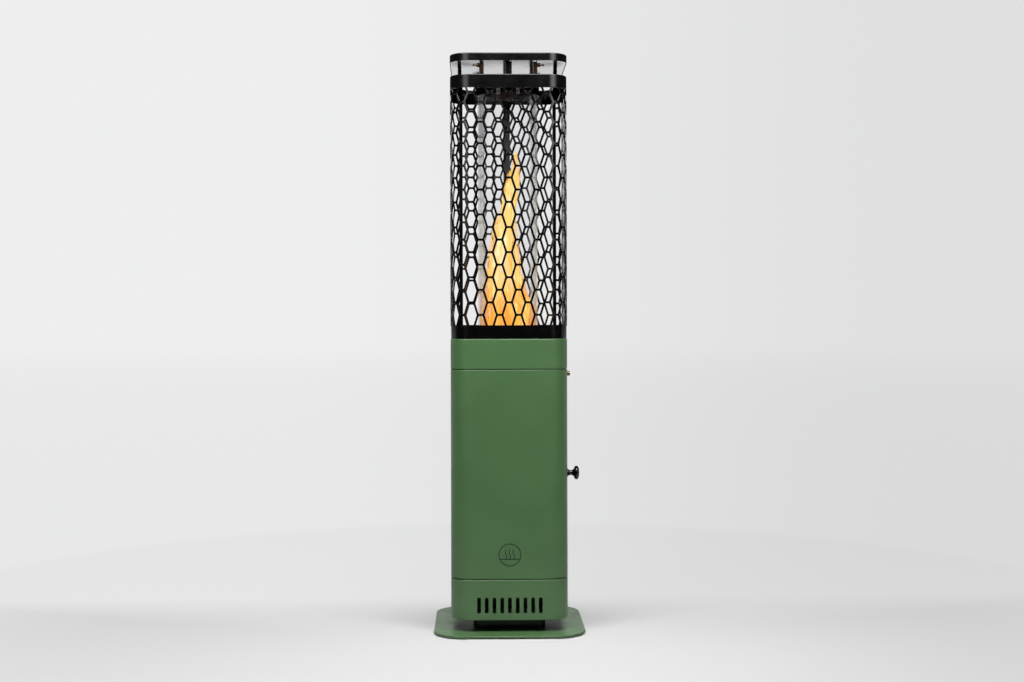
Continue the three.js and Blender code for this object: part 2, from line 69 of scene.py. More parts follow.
class Nodes:
    """A short way to write the node tree of a material, a world or a light."""

    def __init__(self, owner):
        owner.use_nodes = True
        self.tree = owner.node_tree
        self.tree.nodes.clear()

    def feed(self, socket, value):
        """Links an output to a socket or sets its value. None leaves it as it is."""
        if isinstance(value, bpy.types.NodeSocket):
            self.tree.links.new(value, socket)
        elif value is not None:
            socket.default_value = value

    def add(self, kind, *inputs, **settings):
        """Adds a node. The inputs are fed in their order, and a setting is an attribute or a named input."""
        node = self.tree.nodes.new(kind)
        for key, value in settings.items():
            if hasattr(node, key):
                setattr(node, key, value)
                continue
            name = key.replace("_", " ")
            self.feed(node.inputs[name.title() if key.islower() else name], value)
        for socket, value in zip(node.inputs, inputs):
            self.feed(socket, value)
        return node

    def place(self):
        """The object's own coordinates."""
        return self.add("ShaderNodeTexCoord").outputs["Object"]

    def scaled(self, scale):
        """The object's coordinates, stretched by a factor for each axis."""
        return self.add("ShaderNodeMapping", vector=self.place(), scale=scale).outputs[0]

    def noise(self, scale, detail=3.0, stretch=(1, 1, 1)):
        """Noise from 0 to 1 with so many features a metre."""
        place = self.scaled(stretch)
        return self.add("ShaderNodeTexNoise", vector=place, scale=scale, detail=detail).outputs[0]

    def ranged(self, value, start, end, low, high):
        """A value taken smoothly from one range to another."""
        made = self.add("ShaderNodeMapRange", value, start, end, low, high, interpolation_type="SMOOTHSTEP")
        return made.outputs[0]

    def ramp(self, factor, stops):
        """Colours, or greys, between stops of (position, colour)."""
        ramp = self.add("ShaderNodeValToRGB", factor)
        elements = ramp.color_ramp.elements
        while len(elements) < len(stops):
            elements.new(0.5)
        for element, (position, colour) in zip(elements, stops):
            element.position = position
            element.color = (*colour, 1) if hasattr(colour, "__len__") else (colour, colour, colour, 1)
        return ramp.outputs[0]

    def bump(self, height, distance, strength, normal=None):
        """A bump of so many millimetres, on top of another normal."""
        made = self.add("ShaderNodeBump", strength, distance * MM, Height=height, Normal=normal)
        return made.outputs[0]

    def principled(self, base, rough, normal=None, **others):
        """The shader. The others are named inputs."""
        others["Base_Color"] = (*base, 1) if isinstance(base, tuple) else base
        made = self.add("ShaderNodeBsdfPrincipled", roughness=rough, normal=normal, **others)
        return made.outputs[0]

    def surface(self, shader):
        """The material's output."""
        self.add("ShaderNodeOutputMaterial", shader)


def material(name):
    made = bpy.data.materials.new(name)
    return made, Nodes(made)


def shade(colour, factor):
    return tuple(c * factor for c in colour)


def powder_coat(name, colour, rough, spread=0.05):
    """Satin powder coat: an orange-peel surface with a slight drift in colour and gloss."""
    made, nodes = material(name)
    drift = nodes.noise(9, detail=4)
    base = nodes.ramp(drift, [(0.35, shade(colour, 1 - spread)), (0.65, shade(colour, 1 + spread))])
    gloss = nodes.ramp(nodes.noise(35, detail=5), [(0.3, rough - 0.04), (0.7, rough + 0.06)])
    peel = nodes.bump(nodes.noise(700, detail=2), 0.05, 0.5)
    grain = nodes.bump(nodes.noise(2600, detail=1), 0.012, 0.5, peel)
    nodes.surface(nodes.principled(base, gloss, grain))
    return made


def uneven(colour):
    """The stops of a colour that drifts a little."""
    return [(0.3, shade(colour, 0.88)), (0.7, shade(colour, 1.08))]


def brushed(name, colours, rough, along, depth=0.01):
    """Bare metal in patches of colour, with fine scratches drawn out along one direction."""
    made, nodes = material(name)
    streaks = nodes.noise(900, detail=3, stretch=along)
    base = nodes.ramp(nodes.noise(14, detail=5), colours)
    gloss = nodes.ramp(streaks, [(0.25, rough * 0.75), (0.75, rough * 1.3)])
    nodes.surface(nodes.principled(base, gloss, nodes.bump(streaks, depth, 0.6), metallic=1.0))
    return made


def rubber():
    made, nodes = material("rubber")
    base = nodes.ramp(nodes.noise(60, detail=4), [(0.3, 0.012), (0.7, 0.022)])
    gloss = nodes.ramp(nodes.noise(200), [(0.3, 0.72), (0.7, 0.88)])
    nodes.surface(nodes.principled(base, gloss, nodes.bump(nodes.noise(1500), 0.06, 0.6)))
    return made


def gasket():
    """Glass-fibre rope: slanting strands, greyed by soot in places."""
    made, nodes = material("gasket")
    strands = nodes.add(
        "ShaderNodeTexWave", bands_direction="DIAGONAL", vector=nodes.place(), scale=120, distortion=1.5
    )
    soot = nodes.ramp(nodes.noise(40, detail=4), [(0.35, (0.16, 0.15, 0.14)), (0.7, (0.42, 0.41, 0.38))])
    fibres = nodes.bump(nodes.noise(2500), 0.1, 0.6)
    nodes.surface(nodes.principled(soot, 0.95, nodes.bump(strands.outputs[1], 0.5, 0.8, fibres)))
    return made


def glass():
    """Clear tube glass with a faint film of smoke that is uneven in height."""
    made, nodes = material("glass")
    film = nodes.ramp(nodes.noise(12, detail=5, stretch=(1, 1, 0.25)), [(0.35, 0.015), (0.75, 0.05)])
    polished = nodes.principled((0.9, 0.93, 0.95), film, IOR=1.45)
    clear = nodes.add("ShaderNodeBsdfTransparent", (0.975, 0.975, 0.98, 1)).outputs[0]
    facing = nodes.add("ShaderNodeLayerWeight", 0.2).outputs["Fresnel"]
    share = nodes.ramp(facing, [(0.0, 0.01), (1.0, 0.45)])
    nodes.surface(nodes.add("ShaderNodeMixShader", share, clear, polished).outputs[0])
    return made


def flame(name, colours, cover, streaks, seed):
    """Burning gas: upright streaks of three colours, hotter higher up, clearer where they are dark."""
    made, nodes = material(name)
    offset = (seed, seed * 2, 0)
    place = nodes.add("ShaderNodeVectorMath", nodes.scaled((1, 1, 0.11)), offset, operation="ADD").outputs[0]
    gas = nodes.add("ShaderNodeTexNoise", vector=place, scale=streaks, detail=2.0, distortion=0.8)
    height = nodes.add("ShaderNodeSeparateXYZ", nodes.place()).outputs[2]
    rise = nodes.ranged(height, 0.70, 0.90, -0.11, 0.05)
    heat = nodes.add("ShaderNodeMath", gas.outputs[0], rise, operation="ADD")
    colour = nodes.ramp(heat.outputs[0], list(zip((0.40, 0.50, 0.60), colours)))
    alpha = nodes.ramp(gas.outputs[0], [(0.40, cover[0]), (0.58, cover[1])])
    glow = {"Emission_Color": colour, "Emission_Strength": 1.12, "Specular_IOR_Level": 0.0}
    nodes.surface(nodes.principled((0, 0, 0), 1.0, alpha=alpha, **glow))
    return made


GREEN = (0.066, 0.145, 0.054)
BLACK = (0.0013, 0.0013, 0.0016)
OUTER_FLAME = [(0.95, 0.22, 0.015), (1.0, 0.38, 0.04), (1.0, 0.60, 0.13)]
MIDDLE_FLAME = [(0.97, 0.32, 0.025), (1.0, 0.58, 0.08), (1.0, 0.88, 0.34)]
FLAME_CORE = [(1.0, 0.52, 0.06), (1.0, 0.88, 0.32), (1.0, 1.0, 0.80)]
BRONZE = [(0.3, (0.013, 0.010, 0.011)), (0.5, (0.045, 0.026, 0.016)), (0.7, (0.011, 0.014, 0.024))]
BROWNED = [(0.3, (0.09, 0.055, 0.035)), (0.7, (0.32, 0.24, 0.16))]
MATERIALS = {
    "green_coat": powder_coat("green_coat", GREEN, 0.36),
    "black_coat": powder_coat("black_coat", BLACK, 0.17, 0.12),
    "badge": powder_coat("badge", shade(BLACK, 0.8), 0.45, 0.1),
    "gloss_black": powder_coat("gloss_black", BLACK, 0.13, 0.1),
    "rubber": rubber(),
    "dark_steel": brushed("dark_steel", uneven((0.022, 0.021, 0.020)), 0.5, (1, 1, 0.1), 0.02),
    "stainless": brushed("stainless", uneven((0.72, 0.72, 0.73)), 0.14, (0.06, 1, 1)),
    "nickel": powder_coat("nickel", (0.78, 0.77, 0.74), 0.25),
    "heat_tinted_steel": brushed("heat_tinted_steel", BRONZE, 0.3, (1, 1, 0.1)),
    "brass": brushed("brass", BROWNED, 0.35, (0.1, 1, 1)),
    "gasket": gasket(),
    "glass": glass(),
    "flame_outer": flame("flame_outer", OUTER_FLAME, (0.0, 0.7), 80, 1.3),
    "flame_middle": flame("flame_middle", MIDDLE_FLAME, (0.1, 0.8), 95, 4.7),
    "flame_core": flame("flame_core", FLAME_CORE, (0.75, 1.0), 70, 8.1),
}

# ---- shapes: lists of points and faces


def merge(*shapes):
    points, faces = [], []
    for some_points, some_faces in shapes:
        faces += [[i + len(points) for i in face] for face in some_faces]
        points += some_points
    return points, faces


def placed(shape, turn=(0, 0, 0), at=(0, 0, 0)):
    """The shape turned by so many degrees about X, then Y, then Z, and moved."""
    matrix = Matrix.Translation(at)
    for axis, angle in zip("ZYX", reversed(turn)):
        matrix = matrix @ Matrix.Rotation(math.radians(angle), 4, axis)
    return [tuple(matrix @ Vector(p)) for p in shape[0]], shape[1]


def rounded(points, radii, steps=4, closed=True):
    """A polyline whose corners are rounded by the given radius, or by one radius for each corner."""
    count = len(points)
    radii = radii if hasattr(radii, "__len__") else [radii] * count
    made = []
    for i, (point, radius) in enumerate(zip(points, radii)):
        if not radius or (not closed and i in (0, count - 1)):
            made.append(tuple(point))
            continue
        here = Vector(point)
        before, after = Vector(points[i - 1]) - here, Vector(points[(i + 1) % count]) - here
        reach = radius / math.tan(before.angle(after) / 2)
        start = here + before.normalized() * min(reach, 0.48 * before.length)
        end = here + after.normalized() * min(reach, 0.48 * after.length)
        for step in range(steps + 1):
            t = step / steps
            made.append(tuple((1 - t) ** 2 * start + 2 * t * (1 - t) * here + t * t * end))
    return made


def strip(rings, closed, caps=False):
    """Faces between rings of equally many points, and from the last to the first if closed."""
    size = len(rings[0])
    points = [p for ring in rings for p in ring]
    faces = []
    for i in range(len(rings) if closed else len(rings) - 1):
        a, b = i * size, (i + 1) % len(rings) * size
        for j in range(size):
            k = (j + 1) % size
            faces.append([a + j, a + k, b + k, b + j])
    if caps:
        faces += [list(range(size)), list(range(len(points) - size, len(points)))]
    return points, faces


def square_ring(side, corner, z, steps):
    """Points round a square with round corners."""
    centre = side / 2 - corner
    ring = []
    for quarter, (sx, sy) in enumerate([(1, 1), (-1, 1), (-1, -1), (1, -1)]):
        for i in range(steps + 1):
            angle = (quarter + i / steps) * math.pi / 2
            x, y = corner * math.cos(angle), corner * math.sin(angle)
            ring.append((sx * centre + x, sy * centre + y, z))
    return ring


def sweep(side, corner, profile, closed=True, steps=12):
    """A profile of (inset, z) taken round a square with round corners. An open one is capped."""
    rings = []
    for inset, z in profile:
        radius = max(corner - inset, 0.22 * (side / 2 - inset))
        rings.append(square_ring(side - 2 * inset, radius, z, steps))
    return strip(rings, closed, caps=not closed)


def circle(radius, sides=32):
    turns = [2 * math.pi * i / sides for i in range(sides)]
    return [(radius * math.cos(t), radius * math.sin(t)) for t in turns]


def rectangle(x, y, far_x, far_y):
    return [(x, y), (far_x, y), (far_x, far_y), (x, far_y)]


def lathe(profile, sides=64, closed=False):
    """A profile of (radius, z) turned about Z."""
    rings = [[(x, y, z) for x, y in circle(radius, sides)] for radius, z in profile]
    return strip(rings, closed)


def along_x(profile, y, z, sides=48, closed=False):
    """A profile of (radius, x) turned about an axis along X."""
    return placed(lathe(profile, sides, closed), (0, 90, 0), (0, y, z))


def box(low, high):
    corners = [(x, y, z) for x in (low[0], high[0]) for y in (low[1], high[1]) for z in (low[2], high[2])]
    return corners, [[0, 1, 3, 2], [4, 6, 7, 5], [0, 4, 5, 1], [2, 3, 7, 6], [0, 2, 6, 4], [1, 5, 7, 3]]


def prism(outline, low, high):
    """An outline in XY raised between two heights."""
    return strip([[(x, y, z) for x, y in outline] for z in (low, high)], False, caps=True)


# ---- meshes and pieces


def mesh_object(name, shape, bevel=0.0, angle=40.0):
    """A mesh from a shape, with its sharp edges bevelled and smooth shading up to an angle."""
    mesh = bpy.data.meshes.new(name)
    mesh.from_pydata([tuple(c * MM for c in p) for p in shape[0]], [], shape[1])
    obj = bpy.data.objects.new(name, mesh)
    bpy.context.scene.collection.objects.link(obj)
    refine(obj, bevel, angle)
    return obj


def refine(obj, bevel, angle):
    """Cleans a mesh, bevels the edges sharper than an angle and shades the others smooth."""
    limit = math.radians(angle)
    bm = bmesh.new()
    bm.from_mesh(obj.data)
    bmesh.ops.remove_doubles(bm, verts=bm.verts, dist=1e-6)
    bmesh.ops.dissolve_degenerate(bm, edges=bm.edges, dist=1e-7)
    bmesh.ops.recalc_face_normals(bm, faces=bm.faces)
    if bevel:
        sharp = [e for e in bm.edges if e.calc_face_angle(0) > limit]
        width = bevel * MM
        bmesh.ops.bevel(
            bm, geom=sharp, offset=width, segments=2, profile=0.5, affect="EDGES", clamp_overlap=True
        )
    for face in bm.faces:
        face.smooth = True
    for edge in bm.edges:
        edge.smooth = edge.calc_face_angle(0) <= limit
    bm.to_mesh(obj.data)
    bm.free()


def cut(obj, cutter):
    """Takes one shape away from an object."""
    tool = mesh_object("cutter", cutter)
    modifier = obj.modifiers.new("cut", "BOOLEAN")
    modifier.object = tool
    modifier.solver = "EXACT"
    depsgraph = bpy.context.evaluated_depsgraph_get()
    obj.data = bpy.data.meshes.new_from_object(obj.evaluated_get(depsgraph))
    obj.modifiers.clear()
    bpy.data.objects.remove(tool)


def dress(obj, finish, node, weighted=True):
    """Gives a piece its material and its body."""
    obj.data.materials.clear()
    obj.data.materials.append(MATERIALS[finish])
    if weighted:
        obj.modifiers.new("normals", "WEIGHTED_NORMAL").keep_sharp = True
    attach(obj, BODY_OF[node])


def piece(node, shape, bevel=0.0, angle=40.0, cutter=None):
    """The looks of one CAD node."""
    obj = mesh_object(node + "_look", shape, 0 if cutter else bevel, angle)
    if cutter:
        cut(obj, cutter)
        refine(obj, bevel, angle)
    dress(obj, SLOT_OF[node], node)
    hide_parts(node)


def extra(name, shape, finish, rides_with, bevel=0.0, angle=40.0, weighted=True):
    """A small piece that has no CAD node of its own, fixed to the body of the given node."""
    dress(mesh_object(name, shape, bevel, angle), finish, rides_with, weighted)


def casing(node, corner, rolls, low=0, high=0):
    """A sheet-metal tube with rolled edges. low and high are the widths of its two flanges."""
    (x, _, bottom), (far_x, _, top) = mm_box(node)
    points, radii = [(0, bottom), (0, top)], list(rolls)
    if high:
        points += [(high, top), (high, top - WALL)]
        radii += [0.5, 0.5]
    points.append((WALL, top - WALL if high else top))
    radii.append(0.3)
    points.append((WALL, bottom + WALL if low else bottom))
    radii.append(0.3)
    if low:
        points += [(low, bottom + WALL), (low, bottom)]
        radii += [0.5, 0.5]
    return far_x - x, corner, rounded(points, radii)


# ---- base


def add_foot_pads():
    """Rubber discs with a shallow recess in the underside."""
    recess_radius, recess = 9, 0.5
    for node in [name for name in BODY_OF if name.startswith("foot_pad")]:
        low, high = mm_box(node)
        radius, top = (high[0] - low[0]) / 2, high[2]
        edge = rounded([(0, 0), (radius, 0), (radius - 0.6, top), (0, top)], [0, 0.7, 0.5, 0])
        profile = [(0, recess), (recess_radius, recess), (recess_radius, 0), *edge[1:]]
        centre = ((low[0] + high[0]) / 2, (low[1] + high[1]) / 2, 0)
        piece(node, placed(lathe(profile, 48), at=centre))


def add_base():
    low, high = mm_box("base_plate")
    plate_corner, plinth_corner, rim = 70, 6, 60
    profile = rounded(rectangle(rim, low[2], 0, high[2]), [0, 0.6, 1.8, 0], closed=False)
    piece("base_plate", sweep(high[0] - low[0], plate_corner, profile, closed=False, steps=20))
    piece("plinth", sweep(*casing("plinth", plinth_corner, (1.2, 1.2), low=20, high=20)))


def add_lower_shell():
    """A tub with a row of air slots in front and the mouth of the ash drawer at the back."""
    low, high = mm_box("lower_shell")
    bottom, top = low[2], high[2]
    middle, flange = 100, 14
    points = [
        (middle, bottom), (0, bottom), (0, top), (flange, top), (flange, top - WALL), (WALL, top - WALL),
        (WALL, bottom + WALL), (middle, bottom + WALL),
    ]
    profile = rounded(points, [0, 2.2, 2.4, 0.4, 0.4, 0.3, 0.7, 0], closed=False)
    half_slot, half_height, pitch, level = 4.25, 18, 17.75, 69
    slot = rounded(rectangle(-half_slot, -half_height, half_slot, half_height), half_slot, steps=8)
    slot = prism(slot, -5, 5)
    slots = [placed(slot, (90, 0, 0), (pitch * i, -HALF, level)) for i in range(-4, 5)]
    face_low, face_high = mm_box("ash_drawer_front")
    gap, past_wall = 1, 4
    far_corner = (face_high[0] + gap, face_high[1] + past_wall, face_high[2] + gap)
    mouth = box([c - gap for c in face_low], far_corner)
    piece("lower_shell", sweep(BODY, CORNER, profile, closed=False), 0.35, cutter=merge(*slots, mouth))


def add_drawer():
    low, high = mm_box("ash_drawer_front")
    piece("ash_drawer_front", box(low, high), 0.5)
    low, high = mm_box("ash_drawer_tray")
    wall, above = 1.2, 5
    hollow = box([c + wall for c in low], (high[0] - wall, high[1] - wall, high[2] + above))
    piece("ash_drawer_tray", box(low, high), 0.25, cutter=hollow)
    low, high = mm_box("ash_drawer_pull")
    bar, foot = 5, HALF
    outline = [
        (low[0], foot), (low[0], high[1]), (high[0], high[1]), (high[0], foot), (high[0] - bar, foot),
        (high[0] - bar, high[1] - bar), (low[0] + bar, high[1] - bar), (low[0] + bar, foot),
    ]
    outline = rounded(outline, [0, 8, 8, 0, 0, 3.5, 3.5, 0], steps=6)
    piece("ash_drawer_pull", prism(outline, low[2], high[2]), 1.2, 30)


# ---- middle shell, door and badge

HINGE_LINE = 70  # Y of the hinge pins
LATCH_LINE = -70  # Y of the knob and of the lock
KNOB_HEIGHT = 366.5
LOCK_HEIGHT = 599
HINGE_HEIGHTS = {"lower": 220, "upper": 520}


def add_middle_shell():
    low, high = mm_box("door_panel")
    reveal, inside, outside = 1, 120, 150
    opening = box((inside, low[1] - reveal, low[2] - reveal), (outside, high[1] + reveal, high[2] + reveal))
    side, corner, profile = casing("middle_shell", CORNER, (1.8, 2.8))
    piece("middle_shell", sweep(side, corner, profile), 0.35, cutter=opening)


def add_decks():
    """The floor and the deck between the shells, with their edges set back in the seams."""
    setback, rim = 4, 100
    for node, hole in (("cabinet_floor", 50), ("burner_deck", 61.3)):
        low, high = mm_box(node)
        edge = rectangle(rim, low[2], 0, high[2])
        deck = sweep(BODY - 2 * setback, CORNER - setback, edge, closed=False)
        bore = placed(prism(circle(hole, 64), -10, 10), at=(0, 0, low[2]))
        piece(node, deck, 0.2, cutter=bore)


def add_badge():
    """A ring round three wavy lines that stand on a bar."""
    low, high = mm_box("badge")
    radius, line, depth, spacing = (high[0] - low[0]) / 2, 1.7, 0.45, 9
    inside, middle = radius - line, (low[2] + high[2]) / 2
    ring = lathe(rectangle(inside, 0, radius, depth), 96, closed=True)
    parts = [ring, box((-inside, -spacing - line, 0), (inside, -spacing, depth))]
    steps, rise, swing, foot = 24, 0.93, 1.8, -spacing - line / 2
    for x in (-spacing, 0, spacing):
        wave = [(x + swing * math.sin(2 * math.pi * i / steps), foot + i * rise) for i in range(steps + 1)]
        right = [(px + line / 2, pz) for px, pz in wave]
        left = [(px - line / 2, pz) for px, pz in reversed(wave)]
        parts.append(prism(right + left, 0, depth))
    piece("badge", placed(merge(*parts), (90, 0, 0), (0, high[1], middle)), 0.08)


def add_door():
    """The panel, with a hole for the lock and one for the knob's screw."""
    holes = []
    for radius, z in ((5.8, LOCK_HEIGHT), (2.3, KNOB_HEIGHT)):
        holes.append(placed(prism(circle(radius), -5, 5), (0, 90, 0), (HALF, LATCH_LINE, z)))
    piece("door_panel", box(*mm_box("door_panel")), 0.5, cutter=merge(*holes))


def add_hinge_screws(label, owner, middle, y, x):
    """Two round-headed screws in one leaf of a hinge."""
    head = rounded([(0, 0), (3.2, 0), (2.6, 0.9), (0, 1.1)], [0, 0.2, 0.4, 0])
    for place, offset in (("low", -19), ("high", 19)):
        screw = placed(lathe(head, 24), (0, 90, 0), (x, y, middle + offset))
        name = f"hinge_screw_{label}_{owner}_{place}"
        extra(name, screw, "dark_steel", f"{label}_hinge_{owner}_leaf")


def add_hinges():
    """Two butt hinges. The knuckle of the door's leaf is between the two of the body's leaf."""
    plate = (HALF + 0.2, HALF + 1.6)
    axis, radius, bore = HALF + 3.4, 3, 1.75
    for label, middle in HINGE_HEIGHTS.items():
        bottom, top = middle - 30, middle + 30
        knuckles = {
            "body": [(bottom, middle - 10.2), (middle + 10.2, top)],
            "door": [(middle - 9.9, middle + 9.9)],
        }
        for owner, sign in (("body", 1), ("door", -1)):
            inner, outer = HINGE_LINE + sign * 3.6, HINGE_LINE + sign * 17
            corners = [(inner, bottom), (inner, top), (outer, top), (outer, bottom)]
            leaf = rounded(corners, [0.3, 0.3, 3, 3], steps=5)
            parts = [strip([[(x, y, z) for y, z in leaf] for x in plate], False, caps=True)]
            tongue = sorted((HINGE_LINE + sign * 0.4, HINGE_LINE + sign * 4))
            for start, end in knuckles[owner]:
                barrel = rounded(rectangle(bore, start, radius, end), 0.35)
                parts.append(placed(lathe(barrel, 32, closed=True), at=(axis, HINGE_LINE, 0)))
                parts.append(box((plate[0], tongue[0], start), (plate[1], tongue[1], end)))
            piece(f"{label}_hinge_{owner}_leaf", merge(*parts), 0.25)
            add_hinge_screws(label, owner, middle, HINGE_LINE + sign * 10.5, plate[1])


def add_knob():
    form = [
        (0, 0.2), (9.25, 0.2), (9.25, 2.5), (6.5, 5), (5.6, 9), (6, 13), (9, 16), (14, 18), (16, 21),
        (16, 23.5), (14, 26.5), (9, 28.4), (0, 29.2),
    ]
    profile = [(radius, HALF + reach) for radius, reach in form]
    profile = rounded(profile, [0, 0.5, 1, 3, 6, 4, 4, 3, 2, 2, 4, 12, 0], steps=5)
    piece("door_knob", along_x(profile, LATCH_LINE, KNOB_HEIGHT, 64))


def add_lock():
    low, high = mm_box("lock_barrel")
    back, mouth = low[0], high[0]
    seat = HALF + 0.2
    bore, outside, flange, flange_top = 3.6, 5.5, 7.2, seat + 1.2
    barrel = rounded([
        (bore, back), (outside, back), (outside, seat), (flange, seat), (flange, flange_top),
        (outside, flange_top), (outside, mouth), (bore, mouth),
    ], [0.2, 0.2, 0, 0.3, 0.3, 0.1, 0.6, 0.5])
    piece("lock_barrel", along_x(barrel, LATCH_LINE, LOCK_HEIGHT, closed=True))
    low, high = mm_box("lock_core")
    back, face, radius, collar = low[0], high[0], 3.3, 5
    core = rounded([
        (0, back), (collar, back), (collar, back + 2), (radius, back + 2), (radius, face), (0, face),
    ], [0, 0.3, 0.3, 0, 0.4, 0])
    key_width, key_height, depth = 1.2, 4.4, 2.2
    keyway = box(
        (face - depth, LATCH_LINE - key_width / 2, LOCK_HEIGHT - key_height / 2),
        (face + 1, LATCH_LINE + key_width / 2, LOCK_HEIGHT + key_height / 2),
    )
    piece("lock_core", along_x(core, LATCH_LINE, LOCK_HEIGHT), 0.08, cutter=keyway)


# ---- burner

THIN = 1.2  # sheet metal of the burner
CANISTER_BOTTOM = 165
CANISTER_FLOOR = CANISTER_BOTTOM + THIN


def add_canister_stand():
    """A ring under the canister, with two crossing air passages through its foot."""
    foot, half_passage, past = 129.5, 14, 70
    ring = rounded(rectangle(60, foot, 62, CANISTER_BOTTOM), 0.3)
    passages = [box((-x, -y, 120), (x, y, 150)) for x, y in ((past, half_passage), (half_passage, past))]
    piece("canister_stand", lathe(ring, 72, closed=True), 0.2, cutter=merge(*passages))


def add_canisters():
    """The outer canister has two pressed beads. The inner one has a ring of holes under its flange."""
    bottom, floor, top = CANISTER_BOTTOM, CANISTER_FLOOR, 585
    radius, bead, mouth = 66, 65.4, 30
    lining = radius - THIN
    outer = rounded([
        (mouth, bottom), (radius, bottom), (radius, 176), (bead, 180), (radius, 184), (radius, 563),
        (bead, 567), (radius, 571), (radius, top), (lining, top), (lining, floor), (mouth, floor),
    ], [0.3, 3, 4, 2, 4, 4, 2, 4, 0.55, 0.55, 1.8, 0.3], steps=3)
    piece("canister_outer", lathe(outer, 96, closed=True))
    inside, outside, flange, shoulder = 56.8, 58, 64.5, 580
    inner = rounded([
        (inside, floor), (outside, floor), (outside, shoulder), (flange, shoulder),
        (flange, shoulder + THIN), (inside, shoulder + THIN),
    ], [0.3, 0.3, 1, 0.4, 0.5, 1.5], steps=3)
    count, hole_radius, level = 12, 4, 560
    hole = prism(circle(hole_radius, 20), 40, 70)
    holes = [placed(hole, (0, 90, 360 / count * i), (0, 0, level)) for i in range(count)]
    piece("canister_inner", lathe(inner, 96, closed=True), 0.15, cutter=merge(*holes))


def add_grate():
    """A slotted disc on a skirt that stands on the canister's floor."""
    floor, deck, thickness = CANISTER_FLOOR, 190, 2
    skirt_in, skirt_out, radius = 54, 54 + THIN, 56.5
    profile = [
        (0, deck), (skirt_in, deck), (skirt_in, floor), (skirt_out, floor), (skirt_out, deck),
        (radius, deck), (radius, deck + thickness), (0, deck + thickness),
    ]
    slots = [placed(box((14, -3, 185), (46, 3, 195)), (0, 0, 45 * i)) for i in range(8)]
    piece("fuel_grate", lathe(profile, 72), 0.25, cutter=merge(*slots))


def add_flame_cone():
    """A throat that narrows upwards, with a flange that lies on the burner deck."""
    neck, mouth, flange = 60.5, 65, 76
    foot, shoulder, deck, top = 588, 606, 611.5, 676
    cone = rounded([
        (mouth, foot), (neck, shoulder), (neck, deck), (flange, deck), (flange, deck + THIN),
        (neck, deck + THIN), (neck, top), (neck - THIN, top), (neck - THIN, shoulder), (mouth - THIN, foot),
    ], [0.4, 2, 0.6, 0.4, 0.4, 0.6, 0.5, 0.5, 2, 0.4], steps=3)
    piece("flame_cone", lathe(cone, 96, closed=True))


# ---- collar, glass and guard


def add_collar():
    piece("collar_shell", sweep(*casing("collar_shell", CORNER, (1.8, 2.2), high=16)))
    piece("guard_base_ring", sweep(*casing("guard_base_ring", CORNER - 1, (1.5, 0.6), low=30)))
    seat, hole, flange, cup_in, cup_out = 682, 60.8, 103, 72.3, 74.5
    top, rim = seat + WALL, seat + 20
    socket = rounded([
        (hole, seat), (flange, seat), (flange, top), (cup_out, top), (cup_out, rim), (cup_in, rim),
        (cup_in, top), (hole, top),
    ], [0.3, 0.5, 0.5, 1.2, 0.6, 0.6, 0.3, 0.3], steps=3)
    piece("glass_socket", lathe(socket, 96, closed=True))


def add_glass():
    ropes = {"gasket_lower": (TUBE - 3.8, TUBE + 0.9), "gasket_upper": (TUBE + 0.3, TUBE + 2.9)}
    low, high = mm_box("glass_tube")
    tube = rounded(rectangle(TUBE - 3.5, low[2], TUBE, high[2]), 1.6, steps=5)
    piece("glass_tube", lathe(tube, 128, closed=True))
    for node, (inside, outside) in ropes.items():
        low, high = mm_box(node)
        rope = rounded(rectangle(inside, low[2], outside, high[2]), 2.2, steps=4)
        piece(node, lathe(rope, 96, closed=True))


def add_glass_collar():
    """A hoop round the top of the glass, held by four arms."""
    low, high = mm_box("glass_top_collar")
    inside, outside, flange, top = TUBE + 3.2, TUBE + 5, TUBE + 10, high[2]
    hoop = rounded([
        (inside, low[2]), (outside, low[2]), (outside, top - WALL), (flange, top - WALL), (flange, top),
        (inside, top),
    ], [0.5, 0.5, 1, 0.4, 0.4, 1.5], steps=3)
    reach, half_arm = 125, 6
    arm = rounded(rectangle(outside - 0.5, -half_arm, reach, half_arm), [0, 4, 4, 0])
    arms = [placed(prism(arm, top - WALL, top), (0, 0, 90 * turn)) for turn in range(4)]
    piece("glass_top_collar", merge(lathe(hoop, 96, closed=True), *arms), 0.2)


def add_clips():
    """Two bright spring clips with a dark rivet each, on the front of the glass collar."""
    bottom = mm_box("glass_top_collar")[0][2]
    clip = prism(rounded(rectangle(-4.6, -9, 4.6, 5), [1.5, 1.5, 2.5, 2.5]), 0, 0.9)
    rivet = lathe(rounded([(0, 0), (1.9, 0), (1.5, 0.8), (0, 1.0)], [0, 0.1, 0.4, 0]), 20)
    for label, degrees in (("left", -17), ("right", 17)):
        angle = math.radians(degrees - 90)
        for name, shape, finish, radius, height, bevel in (
            ("clip", clip, "nickel", TUBE + 5.9, bottom + 5, 0.25),
            ("clip_rivet", rivet, "dark_steel", TUBE + 6.8, bottom + 2.5, 0),
        ):
            spot = (radius * math.cos(angle), radius * math.sin(angle), height)
            turned = placed(placed(shape, (90, 0, degrees)), at=spot)
            extra(f"{name}_{label}", turned, finish, "glass_top_collar", bevel)


COLUMNS = 46  # staggered columns of hexagons round the guard
LEVELS = 22  # heights that hexagons are centred on
FIRST_LEVEL = 707
BAR = 5.0  # width of the bars between the holes
FLAT = 12.9  # the top and the bottom side of a hexagon, between the bars' centre lines
HOLE_CORNER = 2.6
SHEET = 2.0
CHAMFER = 0.35


def guard_level(half_rows):
    """The height so many half rows up the guard. The rows get lower above the tenth."""
    rise, loss = 28.8, 0.36
    return FIRST_LEVEL + rise * half_rows - loss * max(0, half_rows - 10) ** 2


